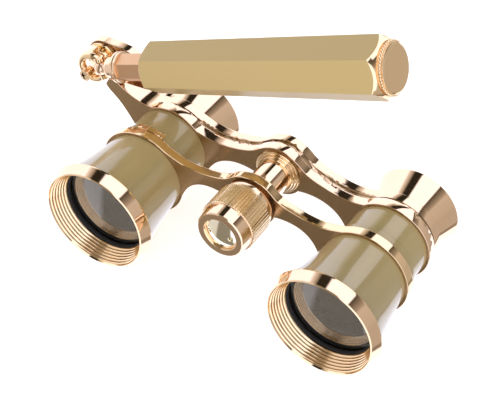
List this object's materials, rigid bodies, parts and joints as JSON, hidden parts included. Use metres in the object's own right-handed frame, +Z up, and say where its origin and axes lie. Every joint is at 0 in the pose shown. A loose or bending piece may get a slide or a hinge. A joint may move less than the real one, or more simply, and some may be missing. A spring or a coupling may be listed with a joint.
{
  "type": "opera glasses",
  "caption": "Opera glasses with champagne barrels, gold bridges, fluted centre focus wheel, flared eyecups and a folding telescopic hexagonal side handle.",
  "frame": {"origin": "bottom centre of the bounding box, barrels level, handle as stored across the top", "axes": "+X from the left to the right barrel as seen from the objectives, +Y along the optical axes from the objectives to the eyes, +Z up"},
  "size_m": [0.1106, 0.0498, 0.0704],
  "materials": {
    "champagne_lacquer": "satin metallic lacquer, champagne gold",
    "rose_gold": "polished rose-gold plating",
    "pale_gold": "polished pale gold plating",
    "black_lacquer": "matt black",
    "optical_glass": "polished coated glass",
    "plain_steel": "turned, oiled"
  },
  "bodies": {
    "objective_half": {"front_bridge": "champagne_lacquer", "barrel_stop": "pale_gold", "wheel_bush": "pale_gold", "bezel_left": "rose_gold", "bezel_right": "rose_gold", "barrel_left": "champagne_lacquer", "barrel_right": "champagne_lacquer", "slide_collar_left": "champagne_lacquer", "slide_collar_right": "champagne_lacquer", "objective_lens_left": "optical_glass", "objective_lens_right": "optical_glass", "objective_retainer_left": "black_lacquer", "objective_retainer_right": "black_lacquer"},
    "eyepiece_half": {"rear_bridge": "champagne_lacquer", "focus_tube": "rose_gold", "focus_nut": "pale_gold", "tube_gland": "pale_gold", "hub_cap": "rose_gold", "sliding_barrel_left": "champagne_lacquer", "sliding_barrel_right": "champagne_lacquer", "eyecup_left": "rose_gold", "eyecup_right": "rose_gold", "eye_lens_left": "optical_glass", "eye_lens_right": "optical_glass", "eye_retainer_left": "black_lacquer", "eye_retainer_right": "black_lacquer"},
    "focus_drive": {"focus_wheel": "rose_gold", "wheel_cap": "pale_gold", "focus_spindle": "plain_steel", "wheel_retainer": "pale_gold"},
    "swivel": {"yoke": "pale_gold", "fold_pin": "pale_gold", "friction_screw": "pale_gold", "swivel_washer": "pale_gold", "spring_washer": "pale_gold", "swivel_nut": "pale_gold"},
    "handle_inner": {"knuckle": "rose_gold", "handle_collar": "rose_gold", "inner_tube": "rose_gold", "friction_plug": "black_lacquer"},
    "handle_outer": {"sleeve": "champagne_lacquer", "sleeve_mouth": "pale_gold", "ferrule": "pale_gold", "bead_ring": "rose_gold", "end_cap": "rose_gold"}
  },
  "joints": [
    {"name": "focus_turn", "type": "hinge", "parent": "objective_half", "child": "focus_drive", "pos_m": [0.00752, -0.0109, 0.02215], "axis": [0, 1, 0], "range_deg": [-300, 180]},
    {"name": "focus_slide", "type": "slide", "parent": "objective_half", "child": "eyepiece_half", "axis": [0, 1, 0], "range_m": [-0.005, 0.003]},
    {"name": "handle_swivel", "type": "hinge", "parent": "eyepiece_half", "child": "swivel", "pos_m": [-0.05028, 0.0107, 0.02925], "axis": [0, -1, 0], "range_deg": [0, 240]},
    {"name": "handle_fold", "type": "hinge", "parent": "swivel", "child": "handle_inner", "pos_m": [-0.04732, 0.0107, 0.03047], "axis": [-0.3827, 0, 0.9239], "range_deg": [-45, 0]},
    {"name": "handle_extend", "type": "slide", "parent": "handle_inner", "child": "handle_outer", "axis": [0.9226, 0.0523, 0.3822], "range_m": [0, 0.045]}
  ],
  "couplings": [
    {"joint": "focus_turn", "follows": "focus_slide", "rad_per_m": 1047.2}
  ]
}
